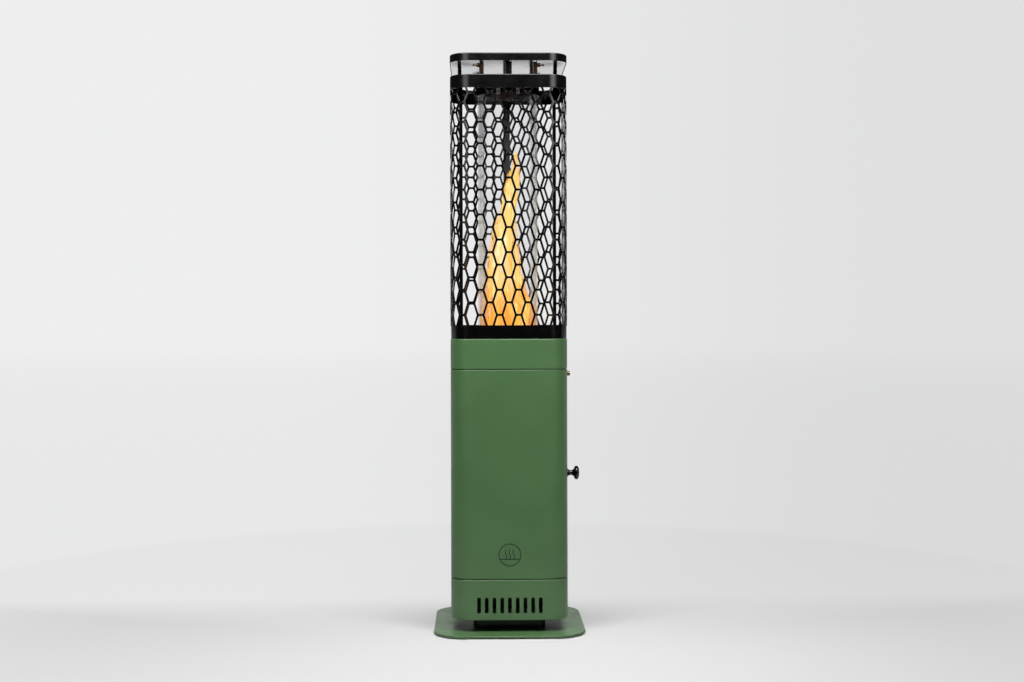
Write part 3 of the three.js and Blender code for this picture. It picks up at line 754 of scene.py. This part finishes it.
def path_point(distance, depth):
    """The point so far round the column from the middle of its front, and so deep below its surface."""
    flat = HALF - CORNER
    quarter = 2 * flat + CORNER * math.pi / 2
    turn, rest = divmod(distance, quarter)
    if rest <= flat:
        x, y = rest, depth - HALF
    elif rest >= flat + CORNER * math.pi / 2:
        x, y = HALF - depth, rest - quarter
    else:
        angle = (rest - flat) / CORNER - math.pi / 2
        x = flat + (CORNER - depth) * math.cos(angle)
        y = (CORNER - depth) * math.sin(angle) - flat
    angle = turn * math.pi / 2
    return x * math.cos(angle) - y * math.sin(angle), x * math.sin(angle) + y * math.cos(angle)


def hexagon(row, width, inset):
    """The corners of a tall hexagon centred on a level of the guard, clockwise and drawn in."""
    top, middle, bottom = (guard_level(row + i) for i in (1, 0, -1))
    sides = [(FLAT, top), (width, middle), (FLAT, bottom), (-FLAT, bottom), (-width, middle), (-FLAT, top)]
    corners = [Vector((x / 2, z)) for x, z in sides]
    made = []
    for i, corner in enumerate(corners):
        before, after = corner - corners[i - 1], corners[(i + 1) % 6] - corner
        first, second = (Vector((d.y, -d.x)).normalized() for d in (before, after))
        made.append(corner + (first + second) * inset / (1 + first.dot(second)))
    return made


ARC_STEPS = 3  # faces round a corner of a hole
SIDE_PARTS = 2  # faces along a side of a hole


def cell_outline(row, width):
    """A cell's outline, along the centre lines of the bars round it."""
    corners = hexagon(row, width, 0)
    pairs = zip(corners, corners[1:] + corners[:1])
    return [tuple(a.lerp(b, i / SIDE_PARTS)) for a, b in pairs for i in range(SIDE_PARTS)]


def hole_outline(row, width, inset):
    """A hole's outline: an arc for each corner, and the points that divide the side after it."""
    count = ARC_STEPS + 1
    arcs = rounded(hexagon(row, width, inset), HOLE_CORNER, ARC_STEPS)
    made = []
    for i in range(6):
        arc = arcs[i * count:(i + 1) * count]
        following = arcs[(i + 1) * count % len(arcs)]
        made += arc + [tuple(Vector(arc[-1]).lerp(following, k / SIDE_PARTS)) for k in range(1, SIDE_PARTS)]
    return made


def cell_faces(rings):
    """The faces of one cell, from the first points of its rings: outline, hole three times, outline."""
    per_side = ARC_STEPS + SIDE_PARTS
    size = 6 * per_side
    faces = []
    for outside, inside in ((rings[0], rings[1]), (rings[4], rings[3])):
        for side in range(6):
            start = inside + side * per_side
            corner = outside + side * SIDE_PARTS
            for k in range(ARC_STEPS):
                faces.append([corner, start + k, start + k + 1])
            for k in range(SIDE_PARTS):
                a = start + ARC_STEPS + k
                b = inside + (side * per_side + ARC_STEPS + k + 1) % size
                c = outside + (side * SIDE_PARTS + k + 1) % (6 * SIDE_PARTS)
                faces.append([a, b, c, corner + k])
    for upper, under in ((rings[1], rings[2]), (rings[2], rings[3])):
        for k in range(size):
            following = (k + 1) % size
            faces.append([upper + k, upper + following, under + following, under + k])
    return faces


def guard_cells():
    """All cells of the perforated sheet that reach the front half of the column."""
    pitch = (4 * (BODY - 2 * CORNER) + 2 * math.pi * CORNER) / COLUMNS
    width = 2 * pitch - FLAT
    reach = math.ceil(COLUMNS / 4) + 1
    points, faces = [], []
    for row in range(LEVELS):
        outer = cell_outline(row, width)
        mouth, hole = hole_outline(row, width, BAR / 2 - CHAMFER), hole_outline(row, width, BAR / 2)
        layers = [(0, outer), (0, mouth), (CHAMFER, hole), (SHEET, hole), (SHEET, outer)]
        for column in range(-reach, reach + 1):
            if (row + column) % 2 == 0:
                continue
            rings = []
            for depth, ring in layers:
                rings.append(len(points))
                points += [(*path_point(column * pitch + s, depth), z) for s, z in ring]
            faces += cell_faces(rings)
    return points, faces


def guard_rims(bottom, top):
    """The plain strips along the lower and the upper edge of the sheet, a hair thinner than it."""
    height, near, far = 2, 0.02, SHEET - 0.02
    rims = []
    for level in (bottom, top - height):
        outline = [(near, level), (near, level + height), (far, level + height), (far, level)]
        rims.append(sweep(BODY, CORNER, rounded(outline, 0.2, steps=1)))
    return merge(*rims)


def add_guard():
    """The perforated sheet, mirrored from front to back, with its seams behind the uprights."""
    low, high = mm_box("flame_guard")
    obj = mesh_object("flame_guard_look", guard_cells())
    rims = mesh_object("rims", guard_rims(low[2], high[2]))
    bm = bmesh.new()
    bm.from_mesh(obj.data)
    for place, normal, closed in (
        ((0, 0, (low[2] + 0.01) * MM), (0, 0, -1), True),
        ((0, 0, (high[2] - 0.01) * MM), (0, 0, 1), True),
        ((0, 0, 0), (0, 1, 0), False),
    ):
        geometry = [*bm.verts, *bm.edges, *bm.faces]
        made = bmesh.ops.bisect_plane(bm, geom=geometry, plane_co=place, plane_no=normal, clear_outer=True)
        if closed:
            cut_edges = [e for e in made["geom_cut"] if isinstance(e, bmesh.types.BMEdge)]
            bmesh.ops.holes_fill(bm, edges=cut_edges, sides=0)
    front = [*bm.verts, *bm.edges, *bm.faces]
    bmesh.ops.mirror(bm, geom=front, axis="Y", merge_dist=1e-6)
    bm.from_mesh(rims.data)
    bm.to_mesh(obj.data)
    bm.free()
    bpy.data.objects.remove(rims)
    refine(obj, 0, 40)
    dress(obj, "black_coat", "flame_guard", weighted=False)
    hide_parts("flame_guard")


def mirrored(shape, sign_x, sign_y):
    return [(sign_x * x, sign_y * y, z) for x, y, z in shape[0]], shape[1]


def upright_plate(inner, corners, radii):
    """A plate across X from its inner face outwards, with an outline of (y, z)."""
    outline = rounded(corners, radii)
    return strip([[(x, y, z) for y, z in outline] for x in (inner, inner + WALL)], False, caps=True)


def add_uprights():
    for node in ("upright_left", "upright_right", "upright_rear"):
        piece(node, box(*mm_box(node)), 0.8)


def add_band():
    piece("top_band", sweep(*casing("top_band", CORNER, (0.6, 2), high=28)))


def add_cap_posts():
    low, high = mm_box("cap_post_rear")
    near, far, half = low[1], high[1], high[0]
    inside = half - WALL
    channel = rounded([
        (-half, near), (-half, far), (half, far), (half, near), (inside, near), (inside, far - WALL),
        (-inside, far - WALL), (-inside, near),
    ], [0.3, 2.2, 2.2, 0.3, 0.3, 0.7, 0.7, 0.3], steps=3)
    post = prism(channel, low[2], high[2])
    for side, turns in (("rear", 0), ("left", 1), ("front", 2), ("right", 3)):
        piece(f"cap_post_{side}", placed(post, (0, 0, 90 * turns)), 0.2, 50)


CAP_CORNER = CORNER + 0.5


def add_cap():
    """A shallow lid whose top rises a little towards its middle."""
    low, high = mm_box("cap_shell")
    bottom, top, rise, middle, half = low[2], high[2], 0.9, 128, 134
    dome = [(inset, top - rise * (1 - inset / half) ** 2) for inset in (30, 60, 95, middle)]
    points = [(middle, top - 1.6), (WALL, top - 2.4), (WALL, bottom), (0, bottom), (0, top - rise), *dome]
    profile = rounded(points, [0, 1.5, 0.4, 0.5, 2.2, 0, 0, 0, 0], closed=False)
    piece("cap_shell", sweep(high[0] - low[0], CAP_CORNER, profile, closed=False))


def add_shield():
    """The bright sheet inside the cap, bowed up towards its middle, with a lip round it."""
    low, high = mm_box("cap_heat_shield")
    bottom, rise, wall, half, setback = 1321, 2.2, 1.2, 132.7, 1.8
    insets = [3, 12, 25, 40, 60, 85, 110, 130]
    under = [(i, bottom + rise * (1 - (1 - i / half) ** 2)) for i in insets]
    over = [(i, z + wall) for i, z in under]
    lip = [(0, bottom), (0, high[2]), (wall, high[2]), (wall, bottom + wall)]
    flat = [0] * len(insets)
    profile = rounded([*reversed(under), *lip, *over], [*flat, 1.2, 0.4, 0.4, 0.3, *flat], closed=False)
    piece("cap_heat_shield", sweep(high[0] - low[0], CAP_CORNER - setback, profile, closed=False))


def add_tabs():
    """The plates under the cap that hold the wing screws."""
    inner, near, far, foot, head = 64, 108, 124, 1301, 1321.8
    plate = upright_plate(inner, [(near, foot), (near, head), (far, head), (far, foot)], [4, 0, 0, 4])
    plates = [mirrored(plate, sign_x, sign_y) for sign_x in (-1, 1) for sign_y in (-1, 1)]
    extra("cap_tabs", merge(*plates), "heat_tinted_steel", "cap_heat_shield", 0.2)


def add_brackets():
    """The angles on the band that the wing screws press against, joined in pairs by a strap."""
    low, high = mm_box("tab_bracket_rear")
    (near, foot), (far, head) = low[1:], high[1:]
    inner, outer, bend = 57, high[0], far - 1
    web = upright_plate(inner, [(near, foot), (near, head), (bend, head), (bend, foot)], [0, 4, 0, 0])
    face = rounded([(inner, foot), (inner, head), (outer, head), (outer, foot)], [0.5, 0.5, 3, 0.5])
    face = strip([[(x, y, z) for x, z in face] for y in (far - WALL, far)], False, caps=True)
    end = inner + 0.5
    strap = box((-end, near, foot), (end, near + 1.2, foot + 4))
    for place, sign_y in (("front", -1), ("rear", 1)):
        angles = [mirrored(part, sign_x, sign_y) for part in (web, face) for sign_x in (-1, 1)]
        piece(f"tab_bracket_{place}", merge(*angles, mirrored(strap, 1, sign_y)), 0.2)


def add_wing_screws():
    tip, root, hub_end, shank, hub = 58.8, 66, 74, 2.5, 4.5
    profile = rounded([
        (0, tip), (2.1, tip), (shank, tip + 0.6), (shank, root), (hub, root), (hub, hub_end), (0, hub_end),
    ], [0, 0, 0, 0, 0.5, 1.2, 0])
    stem = along_x(profile, 0, 0, 32)
    wings = rounded([
        (69, -4), (82, -8.5), (83, -4.5), (75, 0), (83, 4.5), (82, 8.5), (69, 4),
    ], [1, 2.4, 1.6, 2, 1.6, 2.4, 1], steps=4)
    half_thickness, away, height = 1.3, 118, 1312
    screw = merge(stem, prism(wings, -half_thickness, half_thickness))
    for side, angle in (("right", 0), ("left", 180)):
        for place, sign in (("front", -1), ("rear", 1)):
            piece(f"wing_screw_{place}_{side}", placed(screw, (0, 0, angle), (0, sign * away, height)), 0.5)


# ---- flame

FLAME = [  # height above the ground, left edge and right edge of the flame
    (690, -45, 45), (715, -66, 66), (755, -60, 61), (795, -51, 43), (834, -48, 36), (874, -45, 25),
    (914, -37, 21), (946, -31, 19), (970, -21, 18), (1001, -13, 19), (1033, -9, 23), (1065, -5, 28),
    (1081, 5, 28), (1097, 11, 25), (1121, 17, 22), (1128, 18.5, 20.5),
]


def flame_shell(share, height_share, ripple, seed, shift):
    """One layer of the flame: upright folds round a leaning core, kept inside the glass."""
    sides, rows = 72, 60
    inside_glass, depth_share = TUBE - 4.5, 0.8
    base, tip = FLAME[0][0], FLAME[-1][0]
    rings = []
    for row in range(rows + 1):
        level = row / rows
        z = base + (tip - base) * level
        i = max(k for k in range(len(FLAME) - 1) if FLAME[k][0] <= z)
        (z0, l0, r0), (z1, l1, r1) = FLAME[i], FLAME[i + 1]
        t = (z - z0) / (z1 - z0)
        left, right = l0 + (l1 - l0) * t, r0 + (r1 - r0) * t
        middle = (left + right) / 2 + shift * level
        half = (right - left) / 2 * share
        ring = []
        for side in range(sides):
            angle = 2 * math.pi * side / sides
            swirl = angle + 0.5 * level
            fold = noise.noise(Vector((3.1 * math.cos(swirl), 3.1 * math.sin(swirl), 3.2 * level + seed)))
            lick = noise.noise(Vector((7 * math.cos(swirl), 7 * math.sin(swirl), 6 * level + seed + 9)))
            reach = half * (1 + ripple * (fold + 0.5 * lick))
            x = middle + reach * math.cos(angle)
            y = depth_share * reach * math.sin(angle)
            length = math.hypot(x, y)
            limit = min(1, inside_glass / length) if length else 1
            ring.append((x * limit, y * limit, base + (tip - base) * level * height_share))
        rings.append(ring)
    return strip(rings, False, caps=True)


def add_flame():
    for name, share, height, ripple, seed, shift in (
        ("flame_outer", 1.04, 1.0, 0.22, 0.0, 0),
        ("flame_middle", 0.93, 0.95, 0.28, 5.0, -2),
        ("flame_core", 0.66, 0.86, 0.4, 11.0, -4),
    ):
        layer = flame_shell(share, height, ripple, seed, shift)
        extra(name + "_layer", layer, name, "glass_tube", 0, 80, weighted=False)


# ---- CAD nodes that stay


def dress_kept_nodes():
    for node, obj in frame["nodes"].items():
        if obj.hide_render:
            continue
        obj.data.materials.clear()
        obj.data.materials.append(MATERIALS[SLOT_OF[node]])


# ---- stage, light and camera, with their places in metres


def ray_switch(nodes):
    """1 for what the camera sees directly or through glass, 0 for light and reflections."""
    path = nodes.add("ShaderNodeLightPath").outputs
    camera, glass_ray = path["Is Camera Ray"], path["Is Transmission Ray"]
    return nodes.add("ShaderNodeMath", camera, glass_ray, operation="MAXIMUM").outputs[0]


def shaded_backdrop(nodes, sideways):
    """The pale backdrop, with painted shade that makes it a little darker from left to right."""
    pale = (1, 1.003, 1.006)
    greys = [(0, shade(pale, 0.855)), (1, shade(pale, 0.745))]
    return nodes.ramp(nodes.ranged(sideways, -0.15, 0.3, 0, 1), greys)


SIDE_GLOW = 0.03  # light from all round the studio, apart from the backdrop
BACKDROP_GLOW = 1.05


def add_world():
    """The camera sees the backdrop. Light comes from a patch of it and a faint glow all round."""
    world = bpy.data.worlds.new("studio")
    bpy.context.scene.world = world
    nodes = Nodes(world)
    direction = nodes.add("ShaderNodeTexCoord").outputs["Generated"]
    side, depth, _ = nodes.add("ShaderNodeSeparateXYZ", direction).outputs
    # The backdrop as the camera sees it, carrying its painted shade from left to right.
    backdrop = nodes.add("ShaderNodeBackground", shaded_backdrop(nodes, side))
    patch = nodes.ranged(depth, 0.92, 0.975, SIDE_GLOW, BACKDROP_GLOW)
    light = nodes.add("ShaderNodeBackground", (1, 1, 1, 1), patch)
    mix = nodes.add("ShaderNodeMixShader", ray_switch(nodes), light.outputs[0], backdrop.outputs[0])
    nodes.add("ShaderNodeOutputWorld", mix.outputs[0])


def add_floor():
    """A wide pale floor that turns into the plain backdrop away from the heater."""
    made, nodes = material("floor")
    geometry = nodes.add("ShaderNodeNewGeometry").outputs
    place = geometry["Position"]
    distance = nodes.add("ShaderNodeVectorMath", place, operation="LENGTH").outputs["Value"]
    depth = nodes.add("ShaderNodeSeparateXYZ", place).outputs[1]

    def seen_or_lit(seen, lit):
        """One value for what the camera sees, and another for light and reflections."""
        return nodes.add("ShaderNodeMix", ray_switch(nodes), None, lit, seen).outputs[0]

    # The floor in front throws little light back on the heater.
    grey = seen_or_lit(0.63, nodes.ranged(depth, -1.4, -0.4, 0.03, 0.6))
    near = nodes.add("ShaderNodeBsdfDiffuse", grey)
    # The far floor is as bright as the backdrop in the direction that it is seen in, with the backdrop's
    # painted shade, and painted shade makes it a little dimmer near the heater.
    arriving = nodes.add("ShaderNodeVectorMath", geometry["Incoming"], operation="SCALE", Scale=-1)
    shaded_far = shaded_backdrop(nodes, nodes.add("ShaderNodeSeparateXYZ", arriving.outputs[0]).outputs[0])
    far = nodes.add("ShaderNodeEmission", shaded_far, nodes.ranged(distance, 0.6, 40, 0.94, 1.0))
    # The near floor turns into the glowing far floor all round, and soonest behind the heater, where this
    # painted light covers the heater's cast shadow.
    around, behind = nodes.ranged(distance, 0.4, 1.8, 0, 1), nodes.ranged(depth, -0.12, 0.36, 0, 0.95)
    seen = nodes.add("ShaderNodeMath", around, behind, operation="MAXIMUM").outputs[0]
    share = seen_or_lit(seen, nodes.ranged(depth, 0.3, 2.0, 0, 1))
    nodes.surface(nodes.add("ShaderNodeMixShader", share, near.outputs[0], far.outputs[0]).outputs[0])
    radius, sides = 60000, 64
    floor = mesh_object("floor", ([(x, y, 0) for x, y in circle(radius, sides)], [list(range(sides))]))
    floor.data.materials.append(made)


def add_softbox(name, place, aim, size, power, fades=True):
    """A rectangular light. One that fades is dark at its edges and shows in reflections only."""
    light = bpy.data.lights.new(name, "AREA")
    light.shape = "RECTANGLE"
    light.size, light.size_y = size
    light.energy = power
    if fades:
        nodes = Nodes(light)
        across = nodes.add("ShaderNodeNewGeometry").outputs["Parametric"]
        middle = (0.5, 0.5, 0)
        spread = nodes.add("ShaderNodeVectorMath", across, middle, operation="DISTANCE").outputs["Value"]
        glow = nodes.add("ShaderNodeEmission", None, nodes.ranged(spread, 0.05, 0.5, 1, 0))
        nodes.add("ShaderNodeOutputLight", glow.outputs[0])
    obj = bpy.data.objects.new(name, light)
    bpy.context.scene.collection.objects.link(obj)
    obj.location = place
    obj.rotation_euler = (Vector(aim) - Vector(place)).to_track_quat("-Z", "Y").to_euler()
    obj.visible_diffuse = not fades


def add_camera():
    """A level camera in front. It is shifted rather than tilted, so that uprights stay upright."""
    camera = bpy.data.cameras.new("camera")
    camera.lens, camera.sensor_width = 50.625, 36
    camera.shift_x, camera.shift_y = 0.00390625, -0.0205078125
    camera.clip_start, camera.clip_end = 0.05, 200
    obj = bpy.data.objects.new("camera", camera)
    bpy.context.scene.collection.objects.link(obj)
    azimuth, roll = math.radians(-1.2), math.radians(-0.15)
    distance, height = 3.439, 0.724
    obj.location = (math.sin(azimuth) * distance, -math.cos(azimuth) * distance, height)
    aim = Matrix.Rotation(azimuth, 4, "Z") @ Matrix.Rotation(math.pi / 2, 4, "X")
    obj.rotation_euler = (aim @ Matrix.Rotation(roll, 4, "Z")).to_euler()
    bpy.context.scene.camera = obj


add_foot_pads()
add_base()
add_lower_shell()
add_drawer()
add_middle_shell()
add_decks()
add_badge()
add_door()
add_hinges()
add_knob()
add_lock()
add_canister_stand()
add_canisters()
add_grate()
add_flame_cone()
add_collar()
add_glass()
add_glass_collar()
add_clips()
add_guard()
add_uprights()
add_band()
add_cap_posts()
add_cap()
add_shield()
add_tabs()
add_brackets()
add_wing_screws()
add_flame()
dress_kept_nodes()
add_floor()
add_world()
add_softbox("key_light", (0, -0.95, 2.15), (0, 0, 0.7), (2.4, 0.5), 80, fades=False)
add_softbox("left_softbox", (-1.2, -2.5, 1.9), (0, 0, 0.9), (2.4, 2.8), 50)
add_softbox("right_softbox", (1.6, -2.3, 1.9), (0, 0, 0.9), (2.4, 2.8), 78)
add_camera()
bpy.context.scene.view_settings.view_transform = "Standard"
